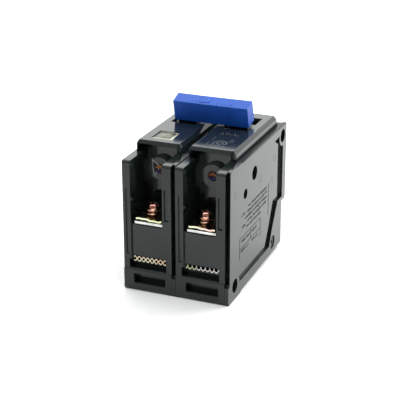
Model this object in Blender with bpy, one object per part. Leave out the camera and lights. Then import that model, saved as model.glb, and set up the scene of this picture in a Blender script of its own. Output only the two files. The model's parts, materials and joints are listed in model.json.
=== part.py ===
"""Two-pole plug-in miniature circuit breaker, modelled piece by piece.

Every pole is a moulded tub (case_base) closed by a side cover. The load terminal is at the
front (-Y), the plug-on jaws are under the rear (+Y), and the toggles come out of the top (+Z).
Design numbers are millimetres, measured from the left, front, bottom corner of a pole.
"""

import math

import bmesh
import bpy
from mathutils import Vector

MM = 0.001

# --- Driving dimensions (mm) ---------------------------------------------------------------
POLE_PITCH = 25.4
CLEARANCE = 0.3
SEAM = 0.12
POLE_WIDTH = POLE_PITCH - SEAM
TOTAL_WIDTH = POLE_PITCH + POLE_WIDTH
CASE_LENGTH = 77.5
LEDGE_HEIGHT = 62.0
TOP_HEIGHT = 66.8
BASE_WIDTH = 23.3
COVER_INNER = BASE_WIDTH + SEAM
COVER_TOP = LEDGE_HEIGHT + 0.4
COVER_SETBACK = 1.6
COVER_TUCK = 3.2
FACE_SETBACK = 0.5

# Raised top block that carries the handle slot.
BLOCK_WIDTH = 21.8
BLOCK_DRAFT = 0.6
BLOCK_CHAMFER = (1.1, 1.8)
BLOCK_FRONT = 15.5
BLOCK_REAR = 72.4
SLOT_X = (4.3, 17.4)
SLOT_Y = (45.0, 64.5)
LABEL_X = (5.3, 15.1)
LABEL_Y = (20.6, 31.0)
LABEL_DEPTH = 0.7

# Terminal well at the front of each pole.
WELL_LEFT = 3.7
WELL_RIGHT = 19.1
SHELF = 32.3
WELL_REAR = 20.5
CAVITY_FRONT = 23.6
BOSS_X, BOSS_Z, BOSS_RADIUS, BOSS_FRONT = 12.8, 55.6, 5.3, 12.5
SCREW_X, SCREW_Y = 11.4, 7.6
VENT_LEFT, VENT_RIGHT, VENT_BOTTOM, VENT_TOP = 4.5, 20.7, 10.9, 17.3

# Rivets run across both poles, at these (y, z).
RIVETS = {
    "front_low": (8.1, 6.7),
    "rear_low": (59.6, 6.8),
    "rear_top": (71.9, 57.2),
    "middle": (32.3, 52.0),
}
RIVET_RADIUS = 1.6
RIVET_HOLE = 1.9
RIVET_HEAD = 2.9
COUNTERBORE = 3.3
COUNTERBORE_DEPTH = {"front_low": 3.8, "rear_low": 1.7, "rear_top": 3.8, "middle": 3.8}
POST_END = 19.2
COVER_BOSS = 3.9

# Mechanism axes, all along X, at (y, z) of every pole.
CENTRE_X = 0.5 * (SLOT_X[0] + SLOT_X[1])
HANDLE_AXIS = (54.8, 56.0)
HANDLE_LEAN = math.radians(15.0)
ARM_DROP = 7.0
ARM_AXIS = (
    HANDLE_AXIS[0] + ARM_DROP * math.sin(HANDLE_LEAN),
    HANDLE_AXIS[1] - ARM_DROP * math.cos(HANDLE_LEAN),
)
CRADLE_AXIS = (68.5, 41.0)
ARMATURE_AXIS = (33.8, 46.2)
TRIP_BAR_AXIS = (37.0, 30.6)
CONTACT_Z = 19.0

SIDES = {"left": 0.0, "right": POLE_PITCH}
ROUND = 20

COLOURS = {
    "phenolic_black": ((0.012, 0.012, 0.013), 0.22, 0.0),
    "handle_blue": ((0.02, 0.09, 0.62), 0.38, 0.0),
    "toggle_black": ((0.02, 0.02, 0.022), 0.4, 0.0),
    "copper": ((0.72, 0.36, 0.2), 0.3, 1.0),
    "yellow_zinc": ((0.78, 0.72, 0.42), 0.32, 1.0),
    "tin_plate": ((0.8, 0.8, 0.78), 0.28, 1.0),
    "steel": ((0.55, 0.55, 0.56), 0.35, 1.0),
    "silver_contact": ((0.86, 0.85, 0.82), 0.3, 1.0),
    "bimetal": ((0.62, 0.56, 0.5), 0.4, 1.0),
    "braided_copper": ((0.66, 0.33, 0.18), 0.55, 1.0),
    "foil": ((0.72, 0.66, 0.45), 0.3, 0.8),
}


# --- Mesh helpers --------------------------------------------------------------------------
def place(axis, u, v, w):
    """The point with coordinates u and v across the axis and w along it."""
    if axis == "X":
        return Vector((w, u, v)) * MM
    if axis == "Y":
        return Vector((u, w, v)) * MM
    return Vector((u, v, w)) * MM


def new_object(name, bm):
    bmesh.ops.recalc_face_normals(bm, faces=bm.faces)
    mesh = bpy.data.meshes.new(name)
    bm.to_mesh(mesh)
    bm.free()
    obj = bpy.data.objects.new(name, mesh)
    bpy.context.scene.collection.objects.link(obj)
    return obj


def loft(axis, sections):
    """A solid through (outline, distance along the axis) sections with equal point counts."""
    bm = bmesh.new()
    rings = [[bm.verts.new(place(axis, u, v, w)) for u, v in outline] for outline, w in sections]
    bm.faces.new(rings[0])
    bm.faces.new(rings[-1])
    for ring, following in zip(rings, rings[1:]):
        for i, vert in enumerate(ring):
            after = (i + 1) % len(ring)
            bm.faces.new((vert, ring[after], following[after], following[i]))
    return new_object("loft", bm)


def prism(axis, outline, low, high):
    return loft(axis, [(outline, low), (outline, high)])


def box(x, y, z):
    return prism("Z", [(x[0], y[0]), (x[1], y[0]), (x[1], y[1]), (x[0], y[1])], *z)


def arc(centre, radius, start, end, steps):
    """Points on a circle from the start angle to the end angle, in degrees."""
    angles = [math.radians(start + (end - start) * i / steps) for i in range(steps + 1)]
    return [(centre[0] + radius * math.cos(a), centre[1] + radius * math.sin(a)) for a in angles]


def rod(axis, centre, radius, low, high, sides=ROUND):
    return prism(axis, arc(centre, radius, 0, 360 * (sides - 1) / sides, sides - 1), low, high)


def turned(profile, axis_point, sides=ROUND):
    """A (radius, height) profile that starts and ends at radius 0, turned about a line along Z."""
    bm = bmesh.new()
    rings = []
    for radius, height in profile:
        spots = [(axis_point[0], axis_point[1])] if radius == 0 else arc(
            axis_point, radius, 0, 360 * (sides - 1) / sides, sides - 1
        )
        rings.append([bm.verts.new(place("Z", u, v, height)) for u, v in spots])
    for ring, following in zip(rings, rings[1:]):
        for i in range(sides):
            corners = [ring[i % len(ring)], ring[(i + 1) % sides % len(ring)]]
            corners += [following[(i + 1) % sides % len(following)], following[i % len(following)]]
            bm.faces.new(list(dict.fromkeys(corners)))
    return new_object("turned", bm)


def tube(points, radius, sides=8):
    """A round wire along the points, with closed ends."""
    bm = bmesh.new()
    rings = []
    guide = Vector((1.0, 0.0, 0.0))
    for i, point in enumerate(points):
        ahead = points[min(i + 1, len(points) - 1)] - points[max(i - 1, 0)]
        ahead.normalize()
        across = (guide - ahead * guide.dot(ahead)).normalized()
        other = ahead.cross(across)
        guide = across
        turns = [2 * math.pi * k / sides for k in range(sides)]
        rings.append([
            bm.verts.new((point + (across * math.cos(t) + other * math.sin(t)) * radius) * MM)
            for t in turns
        ])
    for ring, following in zip(rings, rings[1:]):
        for k in range(sides):
            after = (k + 1) % sides
            bm.faces.new((ring[k], ring[after], following[after], following[k]))
    bm.faces.new(rings[0])
    bm.faces.new(rings[-1])
    return new_object("tube", bm)


def smooth_path(knots, steps):
    """Points on a Catmull-Rom curve through the knots."""
    knots = [Vector(k) for k in knots]
    ends = [2 * knots[0] - knots[1], *knots, 2 * knots[-1] - knots[-2]]
    points = []
    for a, b, c, d in zip(ends, ends[1:], ends[2:], ends[3:]):
        for i in range(steps):
            t = i / steps
            points.append(0.5 * (
                2 * b + (c - a) * t + (2 * a - 5 * b + 4 * c - d) * t**2
                + (3 * b - a - 3 * c + d) * t**3
            ))
    return points + [knots[-1]]


def combine(base, others, operation):
    """Cuts the others from the base, or joins them to it, and keeps the result as its mesh."""
    for other in others:
        modifier = base.modifiers.new(operation, "BOOLEAN")
        modifier.operation = operation
        modifier.solver = "EXACT"
        modifier.object = other
    graph = bpy.context.evaluated_depsgraph_get()
    mesh = bpy.data.meshes.new_from_object(base.evaluated_get(graph))
    base.modifiers.clear()
    base.data = mesh
    for other in others:
        bpy.data.objects.remove(other)
    return base


def cut(base, *others):
    return combine(base, others, "DIFFERENCE")


def join(base, *others):
    return combine(base, others, "UNION")


def soften(obj, width, segments=2, angle=30.0):
    """Rounds the edges that are sharper than the angle."""
    bm = bmesh.new()
    bm.from_mesh(obj.data)
    sharp = [e for e in bm.edges if len(e.link_faces) == 2
             and e.calc_face_angle(0.0) > math.radians(angle)]
    bmesh.ops.bevel(bm, geom=sharp, offset=width * MM, segments=segments, profile=0.5,
                    affect="EDGES", clamp_overlap=True)
    bm.to_mesh(obj.data)
    bm.free()
    return obj


def finish(obj, name, finish_name, pivot=None, smooth=False):
    """Names the piece, gives it its own material, and puts its origin on the pivot."""
    obj.name = name
    obj.data.name = name
    colour, roughness, metallic = COLOURS[finish_name]
    material = bpy.data.materials.new(f"{name}_{finish_name}")
    material.use_nodes = True
    shader = material.node_tree.nodes["Principled BSDF"]
    shader.inputs["Base Color"].default_value = (*colour, 1.0)
    shader.inputs["Roughness"].default_value = roughness
    shader.inputs["Metallic"].default_value = metallic
    obj.data.materials.clear()
    obj.data.materials.append(material)
    if smooth:
        obj.data.shade_smooth()
        obj.data.set_sharp_from_angle(angle=math.radians(35.0))
    if pivot:
        for vert in obj.data.vertices:
            vert.co -= Vector(pivot) * MM
        obj.location = Vector(pivot) * MM
    return obj


# --- Case ----------------------------------------------------------------------------------
def side_outline(top, setback, step_z):
    """The case seen from the side: foot, rising underside, jog at the jaws, set-back front."""
    corner = 1.2
    outline = [(setback, step_z + 0.6), (0.0, step_z), *arc((corner, corner), corner, 180, 270, 3)]
    outline += [(15.5, 0.0), (16.8, 1.0), (56.0, 1.9), (71.3, 1.9), (72.3, 2.9)]
    outline += [(72.3, 23.6), (76.4, 23.6), (CASE_LENGTH, 24.7)]
    outline += [(CASE_LENGTH, top - 0.6), (CASE_LENGTH - 0.6, top)]
    return outline + arc((setback + corner, top - corner), corner, 90, 180, 3)


def rounded_rectangle(x, y, radii, inset=0.0):
    """A rectangle with its four corners rounded, drawn smaller by the inset."""
    steps = 3
    outline = []
    corners = ((x[0], y[0], 1, 1), (x[1], y[0], -1, 1), (x[1], y[1], -1, -1), (x[0], y[1], 1, -1))
    for i, (u, v, right, up) in enumerate(corners):
        radius = max(radii[i] - inset, 0.2)
        centre = (u + right * (radius + inset), v + up * (radius + inset))
        outline += arc(centre, radius, 180 + 90 * i, 270 + 90 * i, steps)
    return outline


def top_block():
    """The raised block: right side drafted, upright corners rounded, top edge chamfered."""
    radii = (0.9, 2.0, 0.4, 0.4)
    inset, drop = BLOCK_CHAMFER

    def section(width, inset, z):
        return rounded_rectangle((0.0, width), (BLOCK_FRONT, BLOCK_REAR), radii, inset), z

    return loft("Z", [
        section(BLOCK_WIDTH + BLOCK_DRAFT, 0.0, 58.0),
        section(BLOCK_WIDTH + BLOCK_DRAFT, 0.0, COVER_TOP),
        section(BLOCK_WIDTH, 0.0, TOP_HEIGHT - drop),
        section(BLOCK_WIDTH, inset, TOP_HEIGHT),
    ])


def cavity(rivet_post):
    """The room for the mechanism, open at the cover, less the post around the middle rivet."""
    outline = [
        (5.0, 11.6), (5.0, 28.8), (CAVITY_FRONT, 28.8), (CAVITY_FRONT, 60.4), (66.8, 60.4),
        (66.8, 52.5), (75.0, 52.5), (75.0, 26.2), (69.8, 26.2), (69.8, 13.2), (54.2, 13.2),
        (54.2, 4.6), (25.0, 4.6), (25.0, 11.6),
    ]
    room = prism("X", outline, 2.2, BASE_WIDTH + 1)
    under_block = box((2.2, BLOCK_WIDTH - 1.4), (CAVITY_FRONT, 66.8), (59.5, 64.4))
    return cut(join(room, under_block), rod("X", rivet_post, 4.6, 0.0, POST_END))


def rivet_cutters(on_cover):
    """Through holes and counterbores for the rivets, along X."""
    cutters = []
    for name, spot in RIVETS.items():
        depth = COUNTERBORE_DEPTH[name]
        bore = (POLE_WIDTH - depth, POLE_WIDTH + 1) if on_cover else (-1.0, depth)
        cutters.append(rod("X", spot, RIVET_HOLE, -1.0, POLE_WIDTH + 1))
        cutters.append(rod("X", spot, COUNTERBORE, *bore))
    return cutters


def case_base(side):
    body = prism("X", side_outline(LEDGE_HEIGHT, FACE_SETBACK, VENT_BOTTOM - 0.8), 0.0, BASE_WIDTH)
    body = join(body, top_block())
    well = box((WELL_LEFT, WELL_RIGHT), (-1.0, BLOCK_FRONT), (SHELF, TOP_HEIGHT + 2))
    deep_slot = box((WELL_LEFT, 8.1), (BLOCK_FRONT - 1, WELL_REAR), (SHELF, 65.2))
    top_slot = box((1.0, 8.1), (BLOCK_FRONT - 1, WELL_REAR), (LEDGE_HEIGHT - 1, 65.2))
    arch = [(8.0, SHELF), (8.0, 41.0), *arc((11.5, 41.0), 3.5, 180, 90, 4), (WELL_RIGHT, 44.5)]
    screw_room = prism("Y", [*arch, (WELL_RIGHT, SHELF)], BLOCK_FRONT - 1, WELL_REAR)
    strap_slot = box((6.0, 16.0), (WELL_REAR - 1, CAVITY_FRONT + 1), (SHELF, 34.2))
    body = cut(body, well, deep_slot, top_slot, screw_room, strap_slot)
    body = join(body, rod("Y", (BOSS_X, BOSS_Z), BOSS_RADIUS, BOSS_FRONT, BLOCK_FRONT + 1, 32))

    calibration_hole = rod("Y", (BOSS_X, BOSS_Z), 2.3, BOSS_FRONT - 1, CAVITY_FRONT + 1)
    screw_hole = rod("Z", (SCREW_X, SCREW_Y), 2.4, 27.0, SHELF + 1)
    nut_pocket = box((SCREW_X - 3.8, SCREW_X + 3.8), (SCREW_Y - 3.8, SCREW_Y + 3.8), (27.0, 31.0))
    vent = prism("Y", [
        (2.7, VENT_BOTTOM), (VENT_RIGHT, VENT_BOTTOM), (VENT_RIGHT, VENT_TOP),
        (VENT_LEFT, VENT_TOP), (VENT_LEFT, 15.3), (2.7, 15.3),
    ], -1.0, 4.0)
    hook_recess = box((4.9, 20.4), (-1.0, 3.6), (3.8, 8.4))
    face = FACE_SETBACK
    panel_groove = box((WELL_LEFT, 4.6), (-1.0, face + 1.0), (15.0, SHELF + 1))
    panel_strip = box((4.5, 7.1), (-1.0, face + 0.25), (17.0, SHELF + 1))
    left_flute = box((1.3, 2.9), (-1.0, face + 0.7), (17.5, 48.9))
    right_flute = box((19.9, 22.2), (-1.0, face + 0.9), (35.8, 50.8))
    handle_slot = box(SLOT_X, SLOT_Y, (60.0, TOP_HEIGHT + 1))
    jaw_slot = box((CENTRE_X - 5.3, CENTRE_X + 5.3), (64.6, 80.0), (-1.0, 13.6))
    body = cut(
        body, cavity(RIVETS["middle"]), calibration_hole, screw_hole, nut_pocket, vent,
        hook_recess, panel_groove, panel_strip, left_flute, right_flute, handle_slot, jaw_slot,
    )
    feet = [box((x, x + 3.0), (62.0, 70.5), (0.0, 2.4)) for x in (1.9, 17.0)]
    pin_boss = rod("X", HANDLE_AXIS, 2.8, 1.5, 4.0)
    cradle_post = rod("X", CRADLE_AXIS, 1.5, 1.5, 8.4, 16)
    body = join(body, pin_boss, cradle_post, *feet)

    pockets = [rod("X", spot, COVER_BOSS + CLEARANCE, POST_END, BASE_WIDTH + 1)
               for name, spot in RIVETS.items() if name != "middle"]
    pin_hole = rod("X", HANDLE_AXIS, 1.5, 0.6, 5.0, 16)
    blind_hole = rod("X", (20.5, 46.2), 2.4, 21.4, BASE_WIDTH + 1)
    body = cut(body, *rivet_cutters(False), *pockets, pin_hole, blind_hole)
    if side == "left":
        body = cut(body, box(LABEL_X, LABEL_Y, (TOP_HEIGHT - LABEL_DEPTH, TOP_HEIGHT + 1)))
    else:
        body = cut(body, rod("X", TRIP_BAR_AXIS, 2.0, -1.0, 3.0, 16))
    return finish(body, f"case_base_{side}", "phenolic_black")


def cover_groove():
    """The channel that borders the rear and the underside of the cover's raised field."""
    ring = arc(RIVETS["rear_top"], 4.9, 167, 278, 6)
    outline = [(13.0, 9.2), (47.9, 9.2), (52.3, 16.3), (58.7, 28.8), (64.9, 28.8)]
    outline += [(64.9, 55.0), (60.0, 58.0), *ring, (72.6, 25.8), (66.1, 25.8)]
    outline += [(58.3, 13.6), (54.6, 6.1), (14.2, 6.1)]
    return prism("X", outline, POLE_WIDTH - 1.4, POLE_WIDTH + 1)


def case_cover(side):
    body = prism("X", side_outline(COVER_TOP, COVER_SETBACK, 8.6), COVER_INNER, POLE_WIDTH)
    bosses = [rod("X", spot, COVER_BOSS, POST_END + CLEARANCE, COVER_INNER + 0.5)
              for spot in RIVETS.values()]
    pin_boss = rod("X", HANDLE_AXIS, 2.8, 18.0, COVER_INNER + 0.5)
    body = join(body, pin_boss, *bosses)
    pin_hole = rod("X", HANDLE_AXIS, 1.5, 17.0, 21.2, 16)
    test_hole = rod("X", (20.5, 46.2), 2.4, COVER_INNER - 1, POLE_WIDTH + 1)
    tucked_edge = prism("Z", [
        (COVER_INNER - 1, -1.0), (POLE_WIDTH - 0.1, -1.0), (POLE_WIDTH - 0.1, COVER_SETBACK),
        (COVER_INNER, COVER_TUCK), (COVER_INNER - 1, COVER_TUCK),
    ], 9.6, COVER_TOP + 1)
    body = cut(body, cover_groove(), pin_hole, test_hole, tucked_edge)
    body = cut(body, *rivet_cutters(True))
    if side == "left":
        body = cut(body, rod("X", TRIP_BAR_AXIS, 2.0, COVER_INNER - 1, POLE_WIDTH + 1, 16))
    return finish(body, f"case_cover_{side}", "phenolic_black")


def case_rivet(name, spot):
    """A long rivet through both poles, with a head in each outer counterbore."""
    depth = COUNTERBORE_DEPTH[name] - CLEARANCE
    left_head = (depth - 1.0, depth)
    right_seat = POLE_PITCH + POLE_WIDTH - depth
    body = rod("X", spot, RIVET_RADIUS, left_head[0], right_seat + 1.0)
    heads = [rod("X", spot, RIVET_HEAD, *left_head),
             rod("X", spot, RIVET_HEAD, right_seat, right_seat + 1.0)]
    body = join(body, *heads)
    ends = [rod("X", spot, 1.0, left_head[0] - 1, left_head[0] + 2, 16),
            rod("X", spot, 1.0, right_seat - 1, right_seat + 2, 16)]
    return finish(cut(body, *ends), f"rivet_{name}", "steel", smooth=True)


# --- Handle --------------------------------------------------------------------------------
def toggle(side):
    """A pole's toggle, drawn upright about the pivot and then leant to the ON side."""
    hub = rod("X", (0.0, 0.0), 4.0, -6.2, 6.2)
    stem = box((-4.5, 4.5), (-2.4, 2.4), (1.0, 19.2))
    shield = [*arc((0.0, 0.0), 10.2, 40, 140, 12), *arc((0.0, 0.0), 9.2, 140, 40, 12)]
    skirt = prism("X", shield, -6.2, 6.2)
    cheeks = [box((x, x + 1.6), (-2.5, 2.5), (-8.6, 0.0)) for x in (-5.0, 3.4)]
    body = join(hub, stem, skirt, *cheeks)
    pin_hole = rod("X", (0.0, 0.0), 1.5, -7.0, 7.0, 16)
    arm_hole = rod("X", (0.0, -ARM_DROP), 1.1, -7.0, 7.0, 12)
    body = finish(cut(body, pin_hole, arm_hole), f"toggle_{side}", "toggle_black")
    body.location = Vector((CENTRE_X, *HANDLE_AXIS)) * MM
    body.rotation_euler.x = HANDLE_LEAN
    return body


def handle_tie_bar():
    """The blue cap that joins the two toggles, with a socket for each of them."""
    half = 18.4
    outline = [(-3.75, 12.5), (3.75, 12.5), (3.5, 22.8), (-3.35, 22.5)]
    bar = soften(prism("X", outline, -half, half), 0.45, 2)
    sockets = [box((x - 4.8, x + 4.8), (-2.7, 2.7), (11.0, 19.5))
               for x in (-POLE_PITCH / 2, POLE_PITCH / 2)]
    bar = finish(cut(bar, *sockets), "handle_tie_bar", "handle_blue")
    bar.location = Vector((CENTRE_X + POLE_PITCH / 2, *HANDLE_AXIS)) * MM
    bar.rotation_euler.x = HANDLE_LEAN
    return bar


def handle_pin(side):
    return finish(rod("X", HANDLE_AXIS, 1.2, 0.9, 20.9, 16), f"handle_pin_{side}", "steel", smooth=True)


# --- Contacts ------------------------------------------------------------------------------
def contact_arm(side):
    y, z = ARM_AXIS
    outline = [
        (y - 1.9, z + 1.6), (y + 1.6, z + 1.9), (y + 2.0, z - 2.5), (53.5, 30.0), (49.3, 23.0),
        (49.3, 16.5), (46.3, 16.5), (46.3, 24.0), (50.0, 31.5), (y - 2.2, z - 2.5),
    ]
    plate = prism("X", outline, CENTRE_X - 1.5, CENTRE_X + 1.5)
    plate = cut(plate, rod("X", ARM_AXIS, 1.1, 0.0, POLE_WIDTH, 12))
    return finish(plate, f"contact_arm_{side}", "copper", (CENTRE_X, *ARM_AXIS))


def arm_pin(side):
    pin = rod("X", ARM_AXIS, 0.8, 5.2, 16.5, 12)
    return finish(pin, f"arm_pin_{side}", "steel", (CENTRE_X, *ARM_AXIS), smooth=True)


def moving_contact(side):
    button = rod("Y", (CENTRE_X, CONTACT_Z), 2.2, 49.6, 51.1)
    return finish(button, f"moving_contact_{side}", "silver_contact", (CENTRE_X, *ARM_AXIS), True)


def fixed_contact(side):
    button = rod("Y", (CENTRE_X, CONTACT_Z), 2.4, 51.4, 52.9)
    return finish(button, f"fixed_contact_{side}", "silver_contact", smooth=True)


def line_jaw(side):
    """The plug-on clip under the rear, with the strap that carries the fixed contact."""
    half = 3.9
    leaf = [(half, 15.4), (half, 7.0), (2.4, 3.6), (3.8, 1.2), (2.9, 0.9), (1.2, 3.6), (2.8, 7.4),
            (2.8, 14.0)]
    outline = [(CENTRE_X + x, z) for x, z in leaf]
    outline += [(CENTRE_X - x, z) for x, z in reversed(leaf)]
    clip = prism("Y", outline, 65.2, 69.5)
    strap = [(53.2, 14.0), (66.0, 14.0), (66.0, 15.4), (54.6, 15.4), (54.6, 23.0), (53.2, 23.0)]
    clip = join(clip, prism("X", strap, CENTRE_X - 3.0, CENTRE_X + 3.0))
    return finish(clip, f"line_jaw_{side}", "tin_plate")


def jaw_spring(side):
    """The steel clip that squeezes the jaw's two leaves."""
    side_leaf = [(5.0, 16.4), (5.0, 7.0), (3.9, 3.6), (3.2, 3.8), (4.25, 7.2), (4.25, 15.7)]
    outline = [(CENTRE_X + x, z) for x, z in side_leaf]
    outline += [(CENTRE_X - x, z) for x, z in reversed(side_leaf)]
    return finish(prism("Y", outline, 66.0, 69.4), f"jaw_spring_{side}", "steel")


def arc_chute(side):
    """Notched steel plates between two insulating walls."""
    front, pitch, count = 26.4, 2.6, 6
    rear = front + pitch * (count - 1) + 1.0
    walls = [box((x, x + 0.9), (front, rear), (12.2, 27.4)) for x in (3.0, 18.2)]
    outline = [(3.4, 12.6), (18.6, 12.6), (18.6, 27.0), (13.5, 27.0), (13.5, 15.2), (8.2, 15.2),
               (8.2, 27.0), (3.4, 27.0)]
    plates = [prism("Y", outline, front + pitch * i, front + pitch * i + 1.0) for i in range(count)]
    return finish(join(*walls, *plates), f"arc_chute_{side}", "steel")


def vent_screen(side):
    """Corrugated plate across the arc vent: two of them, crest to crest, in the left pole."""
    pitch, first, last = 2.12, VENT_LEFT + CLEARANCE, VENT_RIGHT - CLEARANCE
    steps = 6
    count = round((last - first) / pitch * steps)
    xs = [first + (last - first) * i / count for i in range(count + 1)]
    phase = [2 * math.pi * (x - first - 1.1) / pitch for x in xs]
    if side == "left":
        middle, half, wave = 15.6, 1.0, 0.26
        upper = [(x, middle + half + wave * math.cos(p)) for x, p in zip(xs, phase)]
        lower = [(x, middle - half - wave * math.cos(p)) for x, p in zip(xs, phase)]
        plate = prism("Y", upper + lower[::-1], 0.8, 3.4)
        holes = [rod("Y", (first + 1.1 + pitch * i, middle), 0.82, 0.0, 4.0, 6) for i in range(7)]
        plate = cut(plate, *holes)
    else:
        middle, half, wave = 15.75, 0.26, 0.85
        upper = [(x, middle + half + wave * math.cos(p)) for x, p in zip(xs, phase)]
        lower = [(x, z - 2 * half) for x, z in upper]
        plate = prism("Y", upper + lower[::-1], 0.8, 3.4)
    return finish(plate, f"vent_screen_{side}", "copper")


# --- Load terminal -------------------------------------------------------------------------
def terminal_strap(side):
    """The terminal plate on the shelf, bent up behind the wall to hold the bimetal."""
    plate = box((5.3, 18.7), (1.2, 20.2), (32.6, 33.8))
    bent = [(19.0, 32.6), (25.0, 32.6), (25.0, 55.0), (25.7, 55.0), (25.7, 58.3), (23.9, 58.3),
            (23.9, 33.8), (19.0, 33.8)]
    body = join(plate, prism("X", bent, 6.5, 15.5))
    body = cut(body, rod("Z", (SCREW_X, SCREW_Y), 2.4, 31.0, 35.0))
    return finish(body, f"terminal_strap_{side}", "tin_plate")


def pressure_plate(side):
    """The saddle that the screw presses on the conductor, slightly waved across its width."""
    left, right, steps = 5.8, 18.2, 12
    xs = [left + (right - left) * i / steps for i in range(steps + 1)]
    lift = [0.35 * math.sin(2 * math.pi * (x - left) / (right - left)) for x in xs]
    upper = [(x, 35.3 + d) for x, d in zip(xs, lift)]
    lower = [(x, z - 0.95) for x, z in upper]
    plate = prism("Y", upper + lower[::-1], 1.5, 13.8)
    plate = cut(plate, rod("Z", (SCREW_X, SCREW_Y), 2.4, 33.0, 37.0))
    return finish(plate, f"pressure_plate_{side}", "yellow_zinc")


def terminal_screw(side):
    profile = [(0.0, 40.7), (2.2, 40.7), (2.9, 40.4), (3.25, 39.8), (3.3, 38.6), (2.9, 38.2),
               (2.4, 38.1), (2.4, 37.4), (2.0, 37.3), (2.0, 21.6), (1.4, 20.8), (0.0, 20.8)]
    screw = turned(profile, (SCREW_X, SCREW_Y))
    cross = [box((SCREW_X - 2.1, SCREW_X + 2.1), (SCREW_Y - 0.4, SCREW_Y + 0.4), (39.3, 42.0)),
             box((SCREW_X - 0.4, SCREW_X + 0.4), (SCREW_Y - 2.1, SCREW_Y + 2.1), (39.3, 42.0))]
    return finish(cut(screw, *cross), f"terminal_screw_{side}", "copper", (SCREW_X, SCREW_Y, 0.0), True)


def screw_washer(side):
    ring = rod("Z", (SCREW_X, SCREW_Y), 3.5, 36.0, 37.0)
    ring = cut(ring, rod("Z", (SCREW_X, SCREW_Y), 2.4, 35.0, 38.0))
    return finish(ring, f"screw_washer_{side}", "copper", (SCREW_X, SCREW_Y, 0.0), True)


def terminal_nut(side):
    nut = box((SCREW_X - 3.5, SCREW_X + 3.5), (SCREW_Y - 3.5, SCREW_Y + 3.5), (28.3, 30.7))
    nut = cut(nut, rod("Z", (SCREW_X, SCREW_Y), 2.3, 27.0, 32.0))
    return finish(nut, f"terminal_nut_{side}", "steel")


# --- Trip unit -----------------------------------------------------------------------------
def calibration_screw(side):
    spot = (BOSS_X, BOSS_Z)
    screw = join(rod("Y", spot, 1.9, 12.0, 14.0), rod("Y", spot, 1.5, 13.0, 23.6, 16))
    slot = box((BOSS_X - 2.5, BOSS_X + 2.5), (11.0, 12.7), (BOSS_Z - 0.35, BOSS_Z + 0.35))
    return finish(cut(screw, slot), f"calibration_screw_{side}", "copper", (BOSS_X, 12.0, BOSS_Z), True)


def bimetal(side):
    return finish(box((7.0, 15.0), (26.0, 27.0), (34.5, 58.3)), f"bimetal_{side}", "bimetal")


def magnet_yoke(side):
    outline = [(5.0, 27.4), (17.0, 27.4), (17.0, 32.4), (15.8, 32.4), (15.8, 28.6), (6.2, 28.6),
               (6.2, 32.4), (5.0, 32.4)]
    return finish(prism("Z", outline, 36.0, 46.0), f"magnet_yoke_{side}", "steel")


def armature(side):
    """The plate that the yoke pulls in, with the ledge that the cradle latches over."""
    plate = box((5.2, 16.8), (33.2, 34.4), (35.0, 46.8))
    plate = join(plate, box((5.2, 8.4), (34.0, 35.0), (38.2, 39.2)))
    return finish(plate, f"armature_{side}", "steel", (CENTRE_X, *ARMATURE_AXIS))


def cradle(side):
    y, z = CRADLE_AXIS
    outline = [
        *arc(CRADLE_AXIS, 3.0, -100, 70, 6), (65.5, 46.6), (46.0, 46.0), (37.5, 43.2),
        (35.3, 41.2), (35.3, 39.5), (38.0, 39.5), (46.0, 42.4), (63.8, 42.8), (65.8, 39.2),
    ]
    lever = cut(prism("X", outline, 5.8, 7.4), rod("X", CRADLE_AXIS, 1.8, 5.0, 8.0, 16))
    return finish(lever, f"cradle_{side}", "steel", (6.6, y, z))


def operating_spring(side):
    """A toggle spring, wound about the line between its two anchors."""
    low, high = Vector((14.9, 56.4, 34.0)), Vector((14.9, 63.6, 43.2))
    turns, steps, radius = 7, 10, 1.4
    along = high - low
    across = Vector((1.0, 0.0, 0.0))
    other = along.normalized().cross(across)
    points = []
    for i in range(turns * steps + 1):
        angle = 2 * math.pi * i / steps
        spot = low + along * (i / (turns * steps))
        points.append(spot + (across * math.cos(angle) + other * math.sin(angle)) * radius)
    return finish(tube(points, 0.32, 6), f"operating_spring_{side}", "steel", smooth=True)


def braid(side):
    """The flexible lead from the bimetal's free end to the contact arm."""
    knots = [(13.2, 27.2, 33.0), (14.6, 33.6, 33.6), (15.2, 39.6, 34.0), (14.8, 46.5, 31.4),
             (13.9, 51.4, 32.4)]
    return finish(tube(smooth_path(knots, 4), 1.0, 8), f"braid_{side}", "braided_copper", smooth=True)


def common_trip_bar():
    """The bar through both poles, with a finger behind each armature."""
    bar = rod("X", TRIP_BAR_AXIS, 1.5, 2.6, POLE_PITCH + 22.4, 16)
    fingers = [box((x + 9.3, x + 12.4), (36.4, 37.6), (30.6, 37.3)) for x in SIDES.values()]
    return finish(join(bar, *fingers), "common_trip_bar", "toggle_black", (POLE_PITCH, *TRIP_BAR_AXIS))


def rating_plate():
    x, y = LABEL_X, LABEL_Y
    gap = CLEARANCE
    z = TOP_HEIGHT - LABEL_DEPTH
    plate = box((x[0] + gap, x[1] - gap), (y[0] + gap, y[1] - gap), (z + 0.15, z + 0.4))
    return finish(plate, "rating_plate", "foil")


# --- Assembly ------------------------------------------------------------------------------
POLE_PIECES = (
    case_base, case_cover, toggle, handle_pin, contact_arm, arm_pin, moving_contact,
    fixed_contact, line_jaw, jaw_spring, arc_chute, vent_screen, terminal_strap,
    pressure_plate, terminal_screw, screw_washer, terminal_nut, calibration_screw, bimetal,
    magnet_yoke, armature, cradle, operating_spring, braid,
)


def frame_at(name, x):
    """An empty at the left, front, bottom corner of a pole; the object stands centred on Z."""
    empty = bpy.data.objects.new(name, None)
    bpy.context.scene.collection.objects.link(empty)
    empty.location = Vector((x - TOTAL_WIDTH / 2, -CASE_LENGTH / 2, 0.0)) * MM
    return empty


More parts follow.
